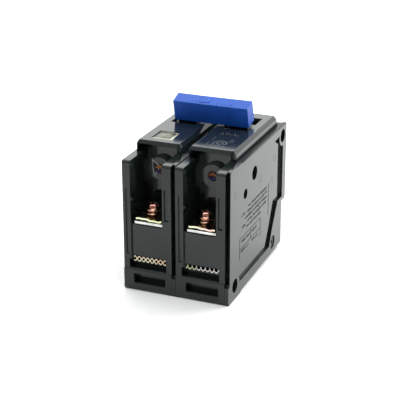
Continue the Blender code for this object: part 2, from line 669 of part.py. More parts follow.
def main():
    for obj in list(bpy.data.objects):
        bpy.data.objects.remove(obj)
    for side, x in SIDES.items():
        frame = frame_at(f"pole_frame_{side}", x)
        for piece in POLE_PIECES:
            piece(side).parent = frame
    shared = [handle_tie_bar(), common_trip_bar(), rating_plate()]
    shared += [case_rivet(name, spot) for name, spot in RIVETS.items()]
    frame = frame_at("breaker_frame", 0.0)
    for obj in shared:
        obj.parent = frame


main()
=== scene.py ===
import json
import math
import random

import bmesh
import bpy
from mathutils import Matrix, Vector


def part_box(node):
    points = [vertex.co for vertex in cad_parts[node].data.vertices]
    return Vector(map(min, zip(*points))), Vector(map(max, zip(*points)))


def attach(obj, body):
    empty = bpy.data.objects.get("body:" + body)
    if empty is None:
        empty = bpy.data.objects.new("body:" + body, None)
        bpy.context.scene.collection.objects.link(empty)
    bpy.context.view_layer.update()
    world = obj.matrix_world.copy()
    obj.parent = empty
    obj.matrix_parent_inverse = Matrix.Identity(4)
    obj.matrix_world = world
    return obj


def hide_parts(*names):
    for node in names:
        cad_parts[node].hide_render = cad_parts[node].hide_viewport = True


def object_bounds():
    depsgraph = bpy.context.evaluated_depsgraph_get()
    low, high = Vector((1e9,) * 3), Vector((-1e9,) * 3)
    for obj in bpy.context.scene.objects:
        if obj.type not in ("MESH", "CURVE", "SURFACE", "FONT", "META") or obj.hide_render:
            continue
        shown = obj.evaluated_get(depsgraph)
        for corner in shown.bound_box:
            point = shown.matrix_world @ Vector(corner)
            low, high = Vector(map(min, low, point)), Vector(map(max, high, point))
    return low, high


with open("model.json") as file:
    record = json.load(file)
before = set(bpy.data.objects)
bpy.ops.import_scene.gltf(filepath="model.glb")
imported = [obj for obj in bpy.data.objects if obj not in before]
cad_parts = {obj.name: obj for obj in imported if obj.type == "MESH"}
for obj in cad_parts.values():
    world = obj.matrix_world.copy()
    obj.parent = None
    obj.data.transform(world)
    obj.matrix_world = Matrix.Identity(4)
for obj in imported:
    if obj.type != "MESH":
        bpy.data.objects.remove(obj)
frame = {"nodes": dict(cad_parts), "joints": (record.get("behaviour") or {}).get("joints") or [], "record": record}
CAD_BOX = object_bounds()
MM = 0.001

SIDES = ("left", "right")
FULL_TURN = 2 * math.pi

# The object's left and front faces and each pole's left face, in the row frame's mm.
LEFT = CAD_BOX[0].x / MM
FRONT = CAD_BOX[0].y / MM
POLE_X = {side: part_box(f"case_base_{side}")[0].x / MM for side in SIDES}


# --- Node helpers ---------------------------------------------------------------------------
class Nodes:
    """A material's node tree, with short calls for the nodes used here."""

    # How far a rounded normal agrees with the true one, on a flat and on a full edge.
    FLAT_DOT, EDGE_DOT = 0.99, 0.86

    def __init__(self, name, material=None):
        self.material = material or bpy.data.materials.new(name)
        self.material.use_nodes = True
        self.tree = self.material.node_tree
        self.shader = self.tree.nodes["Principled BSDF"]
        self.coords = self.add("ShaderNodeTexCoord").outputs["Object"]

    def add(self, kind, inputs=None, **settings):
        node = self.tree.nodes.new(kind)
        for key, value in settings.items():
            setattr(node, key, value)
        for key, value in (inputs or {}).items():
            self.put(node.inputs[key], value)
        return node

    def put(self, socket, value):
        if isinstance(value, bpy.types.NodeSocket):
            self.tree.links.new(value, socket)
        else:
            socket.default_value = value

    def noise(self, scale, detail=2.0, rough=0.5, stretch=None, distortion=0.0):
        vector = self.coords
        if stretch:
            vector = self.add("ShaderNodeMapping", {"Vector": vector, "Scale": stretch}).outputs[0]
        node = self.add("ShaderNodeTexNoise", {
            "Vector": vector, "Scale": scale, "Detail": detail, "Roughness": rough, "Distortion": distortion,
        })
        return node.outputs["Fac"]

    def remap(self, value, low, high, to_low=0.0, to_high=1.0):
        return self.add("ShaderNodeMapRange", {
            "Value": value, "From Min": low, "From Max": high, "To Min": to_low, "To Max": to_high,
        }, interpolation_type="SMOOTHSTEP").outputs["Result"]

    def math(self, operation, a, b):
        return self.add("ShaderNodeMath", {0: a, 1: b}, operation=operation).outputs[0]

    def mix(self, factor, a, b):
        node = self.add("ShaderNodeMix", data_type="RGBA")
        self.put(node.inputs[0], factor)
        self.put(node.inputs[6], a)
        self.put(node.inputs[7], b)
        return node.outputs[2]

    def ramp(self, value, stops):
        node = self.add("ShaderNodeValToRGB", {"Fac": value})
        ramp = node.color_ramp
        while len(ramp.elements) < len(stops):
            ramp.elements.new(0.5)
        for element, (position, colour) in zip(ramp.elements, stops):
            element.position = position
            element.color = (*colour, 1.0)
        return node.outputs["Color"]

    def bump(self, height, distance, strength=1.0, normal=None):
        inputs = {"Height": height, "Distance": distance, "Strength": strength}
        if normal is not None:
            inputs["Normal"] = normal
        return self.add("ShaderNodeBump", inputs).outputs["Normal"]

    def rounded(self, radius_mm):
        return self.add("ShaderNodeBevel", {"Radius": radius_mm * MM}, samples=4).outputs["Normal"]

    def edges(self, rounded_normal):
        """1 on rounded edges, 0 on flats."""
        true_normal = self.add("ShaderNodeNewGeometry").outputs["True Normal"]
        dot = self.add("ShaderNodeVectorMath", {0: rounded_normal, 1: true_normal}, operation="DOT_PRODUCT")
        return self.remap(dot.outputs["Value"], self.FLAT_DOT, self.EDGE_DOT)


def rgb(r, g, b):
    return (r, g, b, 1.0)


# Noise scales, in cells per metre, depths of relief, in metres, and an edge radius, in mm.
FLOW_SCALE, GRAIN_SCALE, PEEL_SCALE, SCUFF_SCALE, WEAR_SCALE = 45.0, 2600.0, 420.0, 300.0, 320.0
GRAIN_DEPTH, PEEL_DEPTH = 0.000003, 0.00001
DRIFT_SCALE, DULL_SCALE, LINE_SCALE = 190.0, 520.0, 900.0
LINE_DEPTH = 0.00002
METAL_EDGE_RADIUS = 0.15


def moulded_plastic(name, dark, light, rough, gloss_ior=1.5, edge=0.5, radius=0.35, bump=1.0, wear_and_highlight=None):
    """Moulded plastic: faint flow marks, orange peel, fine scuffs and worn edges, whose lighter colour is partly a
    painted edge highlight.
    """
    n = Nodes(name)
    cloud = n.remap(n.noise(FLOW_SCALE, 3.0, 0.6), 0.3, 0.7)
    grain = n.noise(GRAIN_SCALE, 2.0, 0.6)
    peel = n.noise(PEEL_SCALE, 2.0, 0.5)
    scuff = n.remap(n.noise(SCUFF_SCALE, 3.0, 0.7, stretch=(1.0, 0.15, 1.0)), 0.56, 0.76)
    normal = n.rounded(radius)
    worn = n.math("MULTIPLY", n.edges(normal), n.remap(n.noise(WEAR_SCALE, 3.0, 0.7), 0.35, 0.62))
    colour = n.mix(cloud, rgb(*dark), rgb(*light))
    # The lighter edge colour is partly wear and partly a painted edge highlight.
    wear_and_highlight_colour = wear_and_highlight or [min(1.0, c * 3 + 0.05) for c in light]
    colour = n.mix(n.math("MULTIPLY", worn, edge), colour, rgb(*wear_and_highlight_colour))
    n.put(n.shader.inputs["Base Color"], colour)
    base = n.remap(cloud, 0.0, 1.0, rough * 0.88, rough * 1.12)
    rougher = n.math("ADD", base, n.math("MULTIPLY", scuff, 0.05))
    n.put(n.shader.inputs["Roughness"], n.math("ADD", rougher, n.math("MULTIPLY", worn, 0.12)))
    n.shader.inputs["IOR"].default_value = gloss_ior
    fine = n.bump(grain, GRAIN_DEPTH * bump, 0.5, normal)
    n.put(n.shader.inputs["Normal"], n.bump(peel, PEEL_DEPTH * bump, 0.5, fine))
    return n.material


# Where the painted shade on the ledges beside the raised top begins and ends, in metres: each is a soft step.
LEDGE_OUTWARD, LEDGE_BEHIND = (0.0212, 0.0216), (-0.0245, -0.0225)
LEDGE_ABOVE, LEDGE_BELOW = (0.0617, 0.0619), (0.0634, 0.0631)


def paint_ledge_shade(material):
    """Paints shade on the narrow ledges beside the raised top: darker and duller where they mirror the block's
    dark side. It is tuned, not a known finish.
    """
    n = Nodes("ledge_painted_shade", material)
    place = n.add("ShaderNodeSeparateXYZ", {0: n.coords})
    outward = n.remap(n.math("ABSOLUTE", place.outputs["X"], 0.0), *LEDGE_OUTWARD)
    behind = n.remap(place.outputs["Y"], *LEDGE_BEHIND)
    above = n.remap(place.outputs["Z"], *LEDGE_ABOVE)
    below = n.remap(place.outputs["Z"], *LEDGE_BELOW)
    ledge_shade_mask = n.math("MULTIPLY", n.math("MULTIPLY", outward, behind), n.math("MULTIPLY", above, below))
    old = n.shader.inputs["Base Color"].links[0].from_socket
    # Painted shade: a near-black colour and a weaker gloss on the ledges.
    n.put(n.shader.inputs["Base Color"], n.mix(ledge_shade_mask, old, rgb(0.004, 0.006, 0.006)))
    n.put(n.shader.inputs["Specular IOR Level"], n.remap(ledge_shade_mask, 0.0, 1.0, 0.5, 0.13))
    return material


def metal(name, colours, rough, brushed=None, bump=1.0, tarnish=0.35):
    """Plated metal: colours drift over the surface, with fine drawing lines and dull patches."""
    n = Nodes(name)
    drift = n.noise(DRIFT_SCALE, 3.0, 0.6, distortion=0.6)
    steps = [(0.28 + 0.44 * i / max(1, len(colours) - 1), c) for i, c in enumerate(colours)]
    colour = n.ramp(drift, steps)
    dull = n.remap(n.noise(DULL_SCALE, 4.0, 0.65), 0.5, 0.75)
    normal = n.rounded(METAL_EDGE_RADIUS)
    worn = n.math("MULTIPLY", n.edges(normal), 0.6)
    colour = n.mix(n.math("MULTIPLY", dull, tarnish), colour, rgb(*[c * 0.45 for c in colours[0]]))
    bright = [min(1.0, c * 1.25 + 0.08) for c in colours[-1]]
    colour = n.mix(worn, colour, rgb(*bright))
    n.put(n.shader.inputs["Base Color"], colour)
    n.shader.inputs["Metallic"].default_value = 1.0
    lines = n.noise(LINE_SCALE, 3.0, 0.6, stretch=brushed or (1.0, 1.0, 1.0))
    roughness = n.remap(lines, 0.3, 0.7, rough * 0.8, rough * 1.25)
    n.put(n.shader.inputs["Roughness"], n.math("ADD", roughness, n.math("MULTIPLY", dull, 0.15)))
    n.put(n.shader.inputs["Normal"], n.bump(lines, LINE_DEPTH * bump, 0.6, normal))
    return n.material


VIOLET_BELOW = (0.0556, 0.0566)


def rusty_screw_with_painted_shade():
    """A copper screw, rusty above, with painted shade in dark violet below a ragged line at the heights
    VIOLET_BELOW.
    """
    rust = [(0.05, 0.017, 0.01), (0.12, 0.05, 0.024), (0.24, 0.13, 0.06)]
    material = metal("rusty_copper_shaded_look", rust, 0.38, bump=4.0)
    n = Nodes("rusty_copper_shade_band", material)
    height = n.add("ShaderNodeSeparateXYZ", {0: n.coords}).outputs["Z"]
    ragged = n.math("ADD", height, n.math("MULTIPLY", n.noise(900.0, 3.0), 0.0012))
    old = n.shader.inputs["Base Color"].links[0].from_socket
    # Painted shade: dark violet on the lower part of the screw.
    violet_shade = n.mix(n.noise(1400.0, 2.0), rgb(0.01, 0.008, 0.02), rgb(0.028, 0.022, 0.05))
    n.put(n.shader.inputs["Base Color"], n.mix(n.remap(ragged, *VIOLET_BELOW), violet_shade, old))
    return material


def side_to_side(name, left_colours, right_colours, span, rough):
    """Plated strip whose colour shifts along X, given as a span of metres."""
    material = metal(name, left_colours, rough, brushed=(0.15, 1.0, 1.0))
    n = Nodes(name + "_drift", material)
    along = n.add("ShaderNodeSeparateXYZ", {0: n.coords}).outputs["X"]
    old = n.shader.inputs["Base Color"].links[0].from_socket
    wobble = n.math("ADD", along, n.math("MULTIPLY", n.noise(420.0, 3.0, 0.6), 0.004))
    other = n.ramp(n.noise(260.0, 3.0), [(0.35, right_colours[0]), (0.65, right_colours[1])])
    n.put(n.shader.inputs["Base Color"], n.mix(n.remap(wobble, *span), old, other))
    return material


MATERIALS = {
    # The case plastic carries painted shade on the ledges beside the raised top.
    "case_plastic": paint_ledge_shade(moulded_plastic(
        "case_plastic_look", (0.007, 0.0105, 0.0103), (0.0115, 0.0165, 0.016), 0.12,
        gloss_ior=1.45, edge=0.4, radius=0.22, wear_and_highlight=(0.07, 0.08, 0.078))),
    # The marks' darker colour is painted shade for raised strokes and the boss's pocket.
    "case_marks": moulded_plastic("case_marks_shaded_look", (0.004, 0.005, 0.005), (0.008, 0.01, 0.01), 0.3,
                                  gloss_ior=1.2, edge=0.2, radius=0.05),
    # The handle's bright blue edge colour is partly wear and partly a painted edge highlight.
    "handle_plastic": moulded_plastic("handle_plastic_look", (0.006, 0.062, 0.36), (0.01, 0.084, 0.46), 0.44,
                                      gloss_ior=1.4, edge=0.9, radius=0.5, bump=6.0, wear_and_highlight=(0.03, 0.26, 0.95)),
    "toggle_plastic": moulded_plastic("toggle_plastic_look", (0.006, 0.007, 0.008), (0.012, 0.013, 0.014),
                                      0.3),
    "copper": metal("copper_look", [(0.22, 0.08, 0.055), (0.48, 0.24, 0.18), (0.7, 0.5, 0.43)], 0.09,
                    tarnish=0.6),
    "yellow_zinc": metal("yellow_zinc_look", [(0.55, 0.56, 0.27), (0.74, 0.76, 0.45), (0.85, 0.84, 0.66)],
                         0.15, brushed=(0.15, 1.0, 1.0)),
    "rosy_zinc": side_to_side("rosy_zinc_look", [(0.56, 0.6, 0.3), (0.75, 0.76, 0.5), (0.84, 0.82, 0.66)],
                              [(0.72, 0.5, 0.42), (0.84, 0.7, 0.62)], (0.0125, 0.0165), 0.15),
    "tin_plate": metal("tin_plate_look", [(0.5, 0.48, 0.46), (0.78, 0.78, 0.76)], 0.2,
                       brushed=(0.1, 1.0, 1.0)),
    "steel": metal("steel_look", [(0.32, 0.32, 0.33), (0.56, 0.56, 0.56)], 0.32, brushed=(1.0, 0.2, 1.0)),
    "silver_contact": metal("silver_contact_look", [(0.7, 0.69, 0.66), (0.9, 0.89, 0.86)], 0.25),
    "bimetal": metal("bimetal_look", [(0.45, 0.4, 0.34), (0.64, 0.58, 0.5)], 0.35, brushed=(1.0, 1.0, 0.1)),
    "braided_copper": metal("braided_copper_look", [(0.4, 0.17, 0.08), (0.78, 0.4, 0.22)], 0.4, bump=6.0),
    "foil": metal("foil_look", [(0.05, 0.049, 0.034), (0.1, 0.097, 0.07), (0.17, 0.165, 0.125)], 0.3,
                  brushed=(1.0, 0.15, 1.0), tarnish=0.4),
    "foil_rim": metal("foil_rim_look", [(0.5, 0.5, 0.34), (0.66, 0.66, 0.5)], 0.3, tarnish=0.2),
    "black_steel": metal("black_steel_look", [(0.02, 0.02, 0.021), (0.05, 0.05, 0.052)], 0.4),
    # Near-black steel: painted shade for the depth of the vent grids.
    "painted_shade_steel": metal("painted_shade_steel_look", [(0.004, 0.004, 0.004), (0.014, 0.013, 0.012)], 0.75),
    # Calibration screws: rust above, painted shade below.
    "rusty_copper_shaded": rusty_screw_with_painted_shade(),
    "grid_left": metal("grid_left_look", [(0.66, 0.34, 0.14), (0.88, 0.74, 0.52), (0.9, 0.9, 0.74)], 0.16),
    "grid_right": side_to_side("grid_right_look", [(0.5, 0.58, 0.28), (0.72, 0.76, 0.5)],
                               [(0.7, 0.64, 0.62), (0.86, 0.84, 0.8)], (0.008, 0.015), 0.2),
    # Pale grey plastic; on the boss's wedge rim its paleness is a painted highlight.
    "worn_plastic": moulded_plastic("worn_plastic_and_highlight_look", (0.1, 0.108, 0.108), (0.17, 0.18, 0.18), 0.3,
                                    edge=0.8, radius=0.12),
    "print": moulded_plastic("print_look", (0.06, 0.075, 0.085), (0.17, 0.19, 0.22), 0.4,
                             edge=0.0, radius=0.02),
}
SLOT_OF = {s["node"]: s["material_slot"] for s in frame["record"]["subparts"]}


def dress(obj, material):
    obj.data.materials.clear()
    obj.data.materials.append(MATERIALS[material])


for name, node in frame["nodes"].items():
    look = SLOT_OF[name]
    if name.startswith("rivet_"):
        look = "black_steel"
    # The calibration screws' lower part carries painted shade.
    if name.startswith("calibration_screw"):
        look = "rusty_copper_shaded"
    dress(node, look)


# --- Mesh helpers ---------------------------------------------------------------------------
def at(side, x, y, z):
    """A point given in a pole's own millimetres, in the row frame."""
    return Vector((POLE_X[side] + x, FRONT + y, z)) * MM


def piece(name, bm, body, material, smooth_angle, stands_for=()):
    """Makes a shown piece from a bmesh in row-frame metres and rides it on its body."""
    bmesh.ops.recalc_face_normals(bm, faces=bm.faces)
    mesh = bpy.data.meshes.new(name)
    bm.to_mesh(mesh)
    bm.free()
    mesh.shade_smooth()
    mesh.set_sharp_from_angle(angle=math.radians(smooth_angle))
    obj = bpy.data.objects.new(name, mesh)
    bpy.context.scene.collection.objects.link(obj)
    dress(obj, material)
    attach(obj, body)
    if stands_for:
        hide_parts(*stands_for)
    return obj


def add_ring_mesh(bm, rings, close_ends=True):
    """Joins rings of points into a closed skin."""
    made = [[bm.verts.new(p) for p in ring] for ring in rings]
    for a, b in zip(made, made[1:]):
        for i in range(len(a)):
            j = (i + 1) % len(a)
            bm.faces.new((a[i], a[j], b[j], b[i]))
    if close_ends:
        bm.faces.new(made[0])
        bm.faces.new(made[-1])


def add_tube_ring(bm, around, across, point):
    """A closed ring of tube. point(t, a) is its surface, t round the ring and a round the tube."""
    rings = [
        [point(FULL_TURN * i / around, FULL_TURN * k / across) for k in range(across)]
        for i in range(around)
    ]
    add_ring_mesh(bm, rings + rings[:1], close_ends=False)


def add_lathe(bm, profile, centre, sides, angle=0.0):
    """A (radius, height) profile in mm, turned about the upright line through centre (metres)."""
    rings = []
    for radius, height in profile:
        ring = []
        for i in range(sides):
            t = FULL_TURN * i / sides + angle
            ring.append(centre + Vector((radius * math.cos(t) * MM, radius * math.sin(t) * MM, height * MM)))
        rings.append(ring)
    add_ring_mesh(bm, rings)


def merge_seams(bm):
    bmesh.ops.remove_doubles(bm, verts=bm.verts, dist=1e-7)


def add_box(bm, low, high, bevel=0.0):
    made = bmesh.ops.create_cube(bm, size=1.0)["verts"]
    for vert in made:
        vert.co = Vector([(a + b) / 2 + c * (b - a) for a, b, c in zip(low, high, vert.co)])
    if bevel:
        edges = list({e for v in made for e in v.link_edges})
        bmesh.ops.bevel(bm, geom=edges, offset=bevel * MM, segments=2, profile=0.6, affect="EDGES")


def add_strip(bm, path, thickness, low_y, high_y):
    """A thin strip that follows (x, z) points, in metres, and runs from low_y to high_y."""
    upper, lower = [], []
    for i, (x, z) in enumerate(path):
        ahead = path[min(i + 1, len(path) - 1)]
        behind = path[max(i - 1, 0)]
        along = Vector((ahead[0] - behind[0], ahead[1] - behind[1])).normalized()
        off = Vector((-along.y, along.x)) * (thickness / 2 * MM)
        upper.append((x + off.x, z + off.y))
        lower.append((x - off.x, z - off.y))
    outline = upper + lower[::-1]
    add_ring_mesh(bm, [[Vector((x, y, z)) for x, z in outline] for y in (low_y, high_y)])


def cut_with(bm, cutters):
    """Cuts boxes out of the bmesh with an exact Boolean."""
    base = bpy.data.meshes.new("cut_base")
    bm.to_mesh(base)
    bm.free()
    tool = bpy.data.meshes.new("cut_tool")
    tool_bm = bmesh.new()
    for low, high in cutters:
        add_box(tool_bm, low, high)
    bmesh.ops.recalc_face_normals(tool_bm, faces=tool_bm.faces)
    tool_bm.to_mesh(tool)
    tool_bm.free()
    first, second = (bpy.data.objects.new("cut", m) for m in (base, tool))
    for obj in (first, second):
        bpy.context.scene.collection.objects.link(obj)
    modifier = first.modifiers.new("cut", "BOOLEAN")
    modifier.operation, modifier.solver, modifier.object = "DIFFERENCE", "EXACT", second
    modifier.use_self = True
    graph = bpy.context.evaluated_depsgraph_get()
    result = bpy.data.meshes.new_from_object(first.evaluated_get(graph))
    out = bmesh.new()
    out.from_mesh(result)
    bpy.data.objects.remove(first)
    bpy.data.objects.remove(second)
    return out


# --- Terminals ------------------------------------------------------------------------------
# Screw profiles are (radius, depth below the top of the head), in mm.
SHANK = [
    (0.05, 19.9), (1.35, 19.9), (1.95, 19.0), (1.95, 3.6), (2.7, 3.45),
    (3.1, 3.1), (3.3, 2.5), (3.28, 2.2), (3.05, 1.95), (0.05, 1.8),
]
HEAD = [(2.35, 1.95), (2.85, 0.9), (2.35, 0.28), (2.05, 0.04), (0.05, 0.0)]
HEAD_TURN = math.radians(-36.0)
HEAD_BEVEL, HEAD_BEVEL_DEPTH = 0.07, 1.2
# Half width, half length and depth of the crossed slots.
SCREW_SLOTS = ((3.6, 0.4, 1.0), (0.4, 1.5, 1.2))

# The split washer: its mean radius, turns, first angle, rise, and (across, up) section.
WASHER_RADIUS, WASHER_TURNS, WASHER_START, WASHER_LIFT, WASHER_STEPS = 2.85, 0.93, 0.6, 0.4, 40
WASHER_SECTION = [(-0.62, 0.0), (0.5, 0.0), (0.62, 0.12), (0.62, 0.5), (0.5, 0.62), (-0.62, 0.62)]

# The waved plate: heights of the long wave, the ripple and one bump, in mm.
WAVE, RIPPLE, RIPPLE_COUNT = 0.26, 0.13, 3.1
BUMP, BUMP_AT, BUMP_WIDTH = 0.16, 0.16, 0.05
PLATE_THICKNESS, PLATE_STEPS, PLATE_HOLE = 0.8, 60, 2.35
WAVE_SHARE = {"left": 1.0, "right": 0.8}
RIPPLE_PHASE = {"left": 0.4, "right": 2.2}
PLATE_LOOK = {"left": "yellow_zinc", "right": "rosy_zinc"}


def terminal_screw(side, centre, top):
    bm = bmesh.new()
    add_lathe(bm, [(r, top - depth) for r, depth in SHANK], centre, sides=56)
    add_lathe(bm, [(r, top - depth) for r, depth in HEAD], centre, sides=6, angle=HEAD_TURN)
    bevel_above = (top - HEAD_BEVEL_DEPTH) * MM
    hex_edges = [
        e for e in bm.edges
        if e.calc_face_angle(0.0) > 0.4 and min(v.co.z for v in e.verts) > bevel_above
    ]
    bmesh.ops.bevel(bm, geom=hex_edges, offset=HEAD_BEVEL * MM, segments=2, profile=0.6, affect="EDGES")
    recess = []
    for half_x, half_y, depth in SCREW_SLOTS:
        reach = Vector((half_x, half_y, 0.0)) * MM
        floor_z, over_z = Vector((0, 0, (top - depth) * MM)), Vector((0, 0, (top + 1) * MM))
        recess.append((centre - reach + floor_z, centre + reach + over_z))
    piece(f"screw_{side}", cut_with(bm, recess), f"screw_{side}", "copper", 30.0,
          [f"terminal_screw_{side}"])


def lock_washer(side, centre):
    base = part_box(f"screw_washer_{side}")[0].z / MM
    rings = []
    for i in range(WASHER_STEPS + 1):
        t = FULL_TURN * WASHER_TURNS * i / WASHER_STEPS + WASHER_START
        lift = WASHER_LIFT * i / WASHER_STEPS
        rings.append([
            centre + Vector(((WASHER_RADIUS + r) * math.cos(t), (WASHER_RADIUS + r) * math.sin(t),
                             base + h + lift)) * MM
            for r, h in WASHER_SECTION
        ])
    bm = bmesh.new()
    add_ring_mesh(bm, rings)
    piece(f"lock_washer_{side}", bm, f"clamp_{side}", "copper", 40.0, [f"screw_washer_{side}"])


def saddle_plate(side, centre):
    low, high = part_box(f"pressure_plate_{side}")
    left, right = low.x / MM, high.x / MM
    middle = (low.z + high.z) / 2 / MM
    path = []
    for i in range(PLATE_STEPS + 1):
        share = i / PLATE_STEPS
        x = left + (right - left) * share
        wave = WAVE * math.sin(FULL_TURN * share) * WAVE_SHARE[side]
        wave += RIPPLE * math.sin(FULL_TURN * share * RIPPLE_COUNT + RIPPLE_PHASE[side])
        bump = BUMP * math.exp(-((share - BUMP_AT) / BUMP_WIDTH) ** 2)
        path.append((x * MM, (middle + wave + bump) * MM))
    bm = bmesh.new()
    add_strip(bm, path, PLATE_THICKNESS, low.y, high.y)
    hole = Vector((PLATE_HOLE, PLATE_HOLE, 0.0)) * MM
    above_all = Vector((0, 0, 0.06))
    piece(f"saddle_plate_{side}", cut_with(bm, [(centre - hole, centre + hole + above_all)]), f"clamp_{side}",
          PLATE_LOOK[side], 30.0, [f"pressure_plate_{side}"])


def terminal(side):
    low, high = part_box(f"terminal_screw_{side}")
    centre = Vector(((low.x + high.x) / 2, (low.y + high.y) / 2, 0.0))
    terminal_screw(side, centre, high.z / MM)
    lock_washer(side, centre)
    saddle_plate(side, centre)


# --- Arc vent grids -------------------------------------------------------------------------
HOLE_PITCH = 2.08
GRID_FRONT = 0.32
FRONT_GAUGE, DEPTH_GAUGE = 0.33, 0.2
STEPS_PER_HOLE = 12
# Offset from the middle and swing of a ribbon, in mm, its phase in holes, and its blunt.
LEFT_RIBBON = (0.64, 0.5, 0.25, 1.5)
RIGHT_RIBBON = (-0.3, 0.55, 0.1, 1.12)
STEM_GAP = 0.05


def zigzag(left, right, middle, swing, phase, blunt):
    """A zigzag from left to right, in metres. Its corners are flatter the more blunt is over 1."""
    points = []
    total = int(round((right - left) / (HOLE_PITCH * MM) * STEPS_PER_HOLE))
    for i in range(total + 1):
        x = left + (right - left) * i / total
        t = (x - left) / (HOLE_PITCH * MM) + phase
        tri = 2 * abs(2 * (t - math.floor(t + 0.5))) - 1
        points.append((x, middle + swing * MM * math.copysign(min(1.0, abs(tri) * blunt), tri)))
    return points


def add_left_grid(bm, low, high, near, far, gauge):
    """Two mirrored ribbons that meet between the holes."""
    offset, swing, phase, blunt = LEFT_RIBBON
    middle = (low.z + high.z) / 2
    for sign in (1, -1):
        ribbon = zigzag(low.x, high.x, middle + sign * offset * MM, sign * swing, phase, blunt)
        add_strip(bm, ribbon, gauge, near, far)


def add_right_grid(bm, low, high, near, far, gauge):
    """One ribbon with an upright stem on each peak."""
    offset, swing, phase, blunt = RIGHT_RIBBON
    ribbon = zigzag(low.x, high.x, (low.z + high.z) / 2 + offset * MM, swing, phase, blunt)
    add_strip(bm, ribbon, gauge, near, far)
    half = gauge / 2 * MM
    for before, (x, z), after in zip(ribbon, ribbon[1:], ribbon[2:]):
        if z > before[1] and z >= after[1]:
            add_box(bm, (x - half, near, z - half), (x + half, far, high.z - STEM_GAP * MM))


def vent_grid(side):
    """The bright front of the baffle strip, and its depth behind in near-black steel, as painted shade."""
    low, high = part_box(f"vent_screen_{side}")
    split = low.y + GRID_FRONT * MM
    add_grid = add_left_grid if side == "left" else add_right_grid
    for part, near, far, gauge, look in (
        ("front", low.y, split, FRONT_GAUGE, f"grid_{side}"),
        # Painted shade: the strip's depth behind its front is near-black.
        ("depth", split, high.y, DEPTH_GAUGE, "painted_shade_steel"),
    ):
        bm = bmesh.new()
        add_grid(bm, low, high, near, far, gauge)
        piece(f"vent_grid_{part}_{side}", bm, "case", look, 20.0, [f"vent_screen_{side}"])


# --- Handle ---------------------------------------------------------------------------------
HANDLE_PIVOT = Vector(next(j for j in frame["joints"] if j["name"] == "handle_throw")["pos_m"])
HANDLE_LEAN = math.radians(15.0)
# The bar's section as (across, out from the pivot), in mm; points further out than HANDLE_WAIST sink.
HANDLE_SECTION = [(-3.75, 12.5), (3.75, 12.5), (3.5, 22.8), (-3.35, 22.5)]
HANDLE_WAIST = 20
# How far the moulded bar sinks, in mm, at shares of its half length.
HANDLE_SINK = [(-1.0, 0.0), (-0.3, 0.06), (0.3, 0.06), (1.0, 0.0)]
HANDLE_BEVEL = 0.45
# Plain marks on the bar's top, along it from the middle: a ring, and bars as (start, lean).
MARK_RING_AT, MARK_RING_RADII, MARK_TUBE = -4.6, (2.9, 2.1), 0.13
MARK_BARS = ((-9.4, 0.0), (-0.4, 0.9), (2.2, -0.9), (5.4, 0.0), (7.0, 0.0), (10.2, 0.9))
MARK_BAR_REACH, MARK_HEIGHT, MARK_RING_HEIGHT, MARK_RISE = 2.0, 22.6, 22.62, 0.1
MARK_BAR_SECTION = ((-0.3, -0.2), (0.3, -0.2), (0.16, 0.1), (-0.16, 0.1))
MARK_ACROSS = 0.1


def on_handle(x, u, v):
    """A point x metres along, u mm across and v mm out from the pivot of the leaning handle."""
    y = u * math.cos(HANDLE_LEAN) - v * math.sin(HANDLE_LEAN)
    z = u * math.sin(HANDLE_LEAN) + v * math.cos(HANDLE_LEAN)
    return Vector((x, HANDLE_PIVOT.y + y * MM, HANDLE_PIVOT.z + z * MM))


def handle_bar():
    low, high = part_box("handle_tie_bar")
    mid_x, half = (low.x + high.x) / 2, (high.x - low.x) / 2
    bm = bmesh.new()
    rings = [
        [on_handle(mid_x + half * share, u * (1 - sink * 0.25), v - (sink if v > HANDLE_WAIST else 0))
         for u, v in HANDLE_SECTION]
        for share, sink in HANDLE_SINK
    ]
    add_ring_mesh(bm, rings)
    corners = [e for e in bm.edges if e.calc_face_angle(0.0) > 0.5]
    bmesh.ops.bevel(bm, geom=corners, offset=HANDLE_BEVEL * MM, segments=3, profile=0.5, affect="EDGES")
    piece("handle_bar", bm, "handle", "handle_plastic", 25.0, ["handle_tie_bar"])
    handle_marks(mid_x)


def handle_marks(mid_x):
    """Raised marks along the bar's top, a ring and short bars. They spell nothing."""
    long, short = MARK_RING_RADII

    def ring_point(t, a):
        r = 1.0 + MARK_TUBE * math.cos(a)
        return on_handle(mid_x + (MARK_RING_AT + long * r * math.cos(t)) * MM,
                         MARK_ACROSS + short * r * math.sin(t), MARK_RING_HEIGHT + MARK_RISE * math.sin(a))

    bm = bmesh.new()
    add_tube_ring(bm, 36, 6, ring_point)
    for start, lean_x in MARK_BARS:
        ends = []
        for across, shift in ((-MARK_BAR_REACH, -lean_x), (MARK_BAR_REACH, lean_x)):
            ends.append([on_handle(mid_x + (start + shift + dx) * MM, MARK_ACROSS + across, MARK_HEIGHT + dv)
                         for dx, dv in MARK_BAR_SECTION])
        add_ring_mesh(bm, ends)
    merge_seams(bm)
    piece("handle_marks", bm, "handle", "handle_plastic", 60.0)


# --- Marks and small mouldings --------------------------------------------------------------
RIM_WIDTH, RIM_HEIGHT = 0.7, 0.14

# Rows of the hatch on a flank, in mm: height, and where the row starts and ends from the front.
MARK_ROWS = [
    (38.3, 25.0, 49.0), (36.0, 23.5, 50.3), (36.6, 16.0, 20.3), (33.8, 20.5, 49.5),
    (31.5, 23.0, 49.0), (30.8, 16.8, 21.4), (29.0, 22.8, 41.0), (24.1, 16.4, 27.0),
    (24.1, 29.6, 35.3), (19.6, 15.5, 25.4), (19.4, 29.9, 37.8),
]
